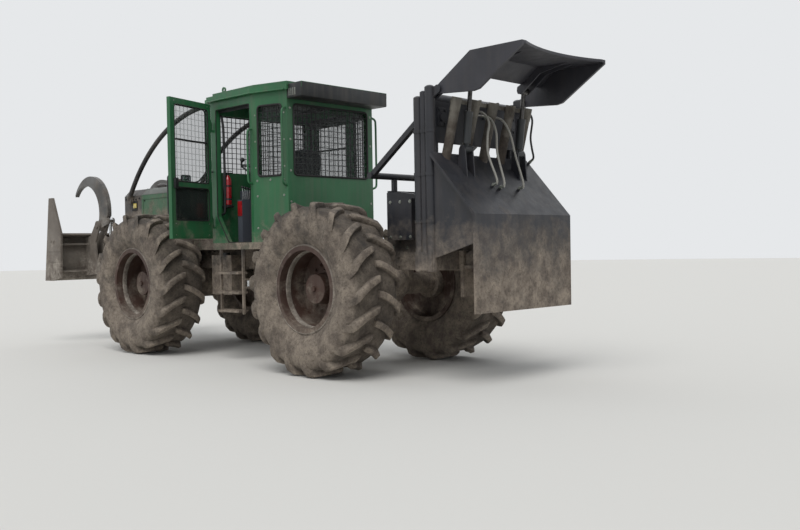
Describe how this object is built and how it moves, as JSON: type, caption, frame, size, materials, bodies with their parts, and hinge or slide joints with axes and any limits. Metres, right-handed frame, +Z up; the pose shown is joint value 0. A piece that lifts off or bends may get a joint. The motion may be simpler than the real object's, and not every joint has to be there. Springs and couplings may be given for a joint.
{
  "type": "articulated log skidder",
  "caption": "Articulated log skidder with caged cab, front blade with log claws, winch, rear post tower and folded-up log shield.",
  "frame": {"origin": "ground point under the middle of the machine's bounding box", "axes": "+X forward, +Y towards the driver's left, +Z up"},
  "size_m": [8.46, 2.7555, 3.2939],
  "materials": {
    "frame_paint": "satin, muddy",
    "muddy_steel": "matte, muddy",
    "cream_paint": "matte, muddy",
    "drum_steel": "worn",
    "dark_green_paint": "satin, muddy",
    "green_paint": "satin, worn",
    "window_glass": "clear",
    "black_paint": "satin",
    "seat_cloth": "matte",
    "black_plastic": "matte",
    "tyre_rubber": "matte, muddy",
    "wheel_paint": "matte, muddy",
    "cylinder_paint": "satin",
    "chromed_rod": "polished",
    "hose_rubber": "matte, dusty"
  },
  "bodies": {
    "rear": {"rear_frame": "frame_paint", "rear_axle": "muddy_steel", "tower": "frame_paint", "butt_plate": "frame_paint", "guide_tubes": "cream_paint", "winch_housing": "muddy_steel", "hose_left": "hose_rubber", "hose_mid": "hose_rubber", "hose_right": "hose_rubber", "hose_outer": "hose_rubber"},
    "front": {"front_frame": "frame_paint", "front_axle": "muddy_steel", "engine": "frame_paint", "steps_tank": "muddy_steel", "cab_floor": "dark_green_paint", "cab_walls": "green_paint", "cab_roof": "green_paint", "cab_windows": "window_glass", "cab_guards": "black_paint", "seat": "seat_cloth", "console": "frame_paint", "steering_wheel": "black_plastic", "hood": "green_paint", "nose": "muddy_steel", "limb_risers": "black_paint"},
    "winch": {"winch_drum": "drum_steel"},
    "door_left_body": {"door_left": "green_paint", "door_left_window": "window_glass"},
    "door_right_body": {"door_right": "green_paint", "door_right_window": "window_glass"},
    "blade_arm_pair": {"blade_arms": "muddy_steel"},
    "blade_link_pair": {"blade_links": "muddy_steel"},
    "blade_body": {"blade": "muddy_steel"},
    "lift_barrel_pair": {"lift_barrels": "cylinder_paint"},
    "lift_rod_pair": {"lift_rods": "chromed_rod"},
    "claw_pair": {"claws": "muddy_steel"},
    "claw_barrel_pair": {"claw_barrels": "cylinder_paint"},
    "claw_rod_pair": {"claw_rods": "chromed_rod"},
    "shield_body": {"shield": "frame_paint"},
    "shield_barrel_pair": {"shield_barrels": "cylinder_paint"},
    "shield_rod_pair": {"shield_rods": "chromed_rod"},
    "wheel_fl": {"tyre_fl": "tyre_rubber", "rim_fl": "wheel_paint"},
    "wheel_fr": {"tyre_fr": "tyre_rubber", "rim_fr": "wheel_paint"},
    "wheel_rl": {"tyre_rl": "tyre_rubber", "rim_rl": "wheel_paint"},
    "wheel_rr": {"tyre_rr": "tyre_rubber", "rim_rr": "wheel_paint"},
    "steer_barrel_left_body": {"steer_barrel_left": "cylinder_paint"},
    "steer_rod_left_body": {"steer_rod_left": "chromed_rod"},
    "steer_barrel_right_body": {"steer_barrel_right": "cylinder_paint"},
    "steer_rod_right_body": {"steer_rod_right": "chromed_rod"}
  },
  "joints": [
    {"name": "steering", "type": "hinge", "parent": "rear", "child": "front", "pos_m": [-0.075, -0.15427, 0.945], "axis": [0, 0, 1], "range_deg": [-38, 38]},
    {"name": "wheel_fl_turn", "type": "hinge", "parent": "front", "child": "wheel_fl", "pos_m": [1.65, 0.75573, 0.9], "axis": [0, 1, 0], "continuous": true},
    {"name": "wheel_fr_turn", "type": "hinge", "parent": "front", "child": "wheel_fr", "pos_m": [1.65, -1.06427, 0.9], "axis": [0, 1, 0], "continuous": true},
    {"name": "wheel_rl_turn", "type": "hinge", "parent": "rear", "child": "wheel_rl", "pos_m": [-1.8, 0.75573, 0.9], "axis": [0, 1, 0], "continuous": true},
    {"name": "wheel_rr_turn", "type": "hinge", "parent": "rear", "child": "wheel_rr", "pos_m": [-1.8, -1.06427, 0.9], "axis": [0, 1, 0], "continuous": true},
    {"name": "winch_turn", "type": "hinge", "parent": "rear", "child": "winch", "pos_m": [-2.575, -0.15427, 1.6], "axis": [0, 1, 0], "continuous": true},
    {"name": "door_left_swing", "type": "hinge", "parent": "front", "child": "door_left_body", "pos_m": [0.315, 0.65623, 2.26], "axis": [0, 0, -1], "range_deg": [-72, 23]},
    {"name": "door_right_swing", "type": "hinge", "parent": "front", "child": "door_right_body", "pos_m": [0.315, -0.96477, 2.26], "axis": [0, 0, 1], "range_deg": [0, 95]},
    {"name": "blade_lift", "type": "hinge", "parent": "front", "child": "blade_arm_pair", "pos_m": [2.825, -0.15427, 0.8], "axis": [0, -1, 0], "range_deg": [-54, 2]},
    {"name": "link_swing", "type": "hinge", "parent": "front", "child": "blade_link_pair", "pos_m": [2.825, -0.15427, 1.16], "axis": [0, -1, 0], "range_deg": [-54.5, 2.5]},
    {"name": "blade_level", "type": "hinge", "parent": "blade_arm_pair", "child": "blade_body", "pos_m": [3.67885, -0.15427, 1.21645], "axis": [0, -1, 0], "range_deg": [-2.5, 54.5]},
    {"name": "lift_barrel_swing", "type": "hinge", "parent": "front", "child": "lift_barrel_pair", "pos_m": [2.575, -0.15427, 1.23], "axis": [0, -1, 0], "range_deg": [-27.6, 1.5]},
    {"name": "lift_rod_slide", "type": "slide", "parent": "lift_barrel_pair", "child": "lift_rod_pair", "axis": [0.9575, 0, -0.2886], "range_m": [-0.01108, 0.2472]},
    {"name": "claws_close", "type": "hinge", "parent": "blade_body", "child": "claw_pair", "pos_m": [3.485, -0.15427, 1.7], "axis": [0, 1, 0], "range_deg": [-25, 38]},
    {"name": "claw_barrel_swing", "type": "hinge", "parent": "blade_body", "child": "claw_barrel_pair", "pos_m": [3.255, -0.15427, 1.06], "axis": [0, -1, 0], "range_deg": [-5.76, 3.96]},
    {"name": "claw_rod_slide", "type": "slide", "parent": "claw_barrel_pair", "child": "claw_rod_pair", "axis": [-0.0539, 0, 0.9985], "range_m": [-0.11057, 0.16703]},
    {"name": "shield_drop", "type": "hinge", "parent": "rear", "child": "shield_body", "pos_m": [-3.25, -0.15427, 2.8], "axis": [0, -1, 0], "range_deg": [0, 70]},
    {"name": "shield_barrel_swing", "type": "hinge", "parent": "rear", "child": "shield_barrel_pair", "pos_m": [-3.365, -0.15427, 2.245], "axis": [0, -1, 0], "range_deg": [-0.871, 0]},
    {"name": "shield_rod_slide", "type": "slide", "parent": "shield_barrel_pair", "child": "shield_rod_pair", "axis": [-0.1122, 0, 0.9937], "range_m": [-0.23285, 0]},
    {"name": "steer_barrel_left_swing", "type": "hinge", "parent": "rear", "child": "steer_barrel_left_body", "pos_m": [-0.875, 0.24573, 0.9], "axis": [0, 0, 1], "range_deg": [-8.94, 8.94]},
    {"name": "steer_rod_left_slide", "type": "slide", "parent": "steer_barrel_left_body", "child": "steer_rod_left_body", "axis": [1, 0, 0], "range_m": [-0.26279, 0.26279]},
    {"name": "steer_barrel_right_swing", "type": "hinge", "parent": "rear", "child": "steer_barrel_right_body", "pos_m": [-0.875, -0.55427, 0.9], "axis": [0, 0, 1], "range_deg": [-8.94, 8.94]},
    {"name": "steer_rod_right_slide", "type": "slide", "parent": "steer_barrel_right_body", "child": "steer_rod_right_body", "axis": [1, 0, 0], "range_m": [-0.26279, 0.26279]}
  ],
  "couplings": [
    {"joint": "link_swing", "follows": "blade_lift", "ratio": 1},
    {"joint": "blade_level", "follows": "blade_lift", "ratio": -1},
    {"joint": "lift_barrel_swing", "follows": "blade_lift", "ratio": 0.5019},
    {"joint": "lift_rod_slide", "follows": "blade_lift", "m_per_rad": -0.26016},
    {"joint": "claw_barrel_swing", "follows": "claws_close", "ratio": -0.1384},
    {"joint": "claw_rod_slide", "follows": "claws_close", "m_per_rad": 0.24883},
    {"joint": "shield_barrel_swing", "follows": "shield_drop", "ratio": -0.0053},
    {"joint": "shield_rod_slide", "follows": "shield_drop", "m_per_rad": -0.18895},
    {"joint": "steer_barrel_left_swing", "follows": "steering", "ratio": 0.222},
    {"joint": "steer_rod_left_slide", "follows": "steering", "m_per_rad": -0.39321},
    {"joint": "steer_barrel_right_swing", "follows": "steering", "ratio": 0.222},
    {"joint": "steer_rod_right_slide", "follows": "steering", "m_per_rad": 0.39321}
  ]
}
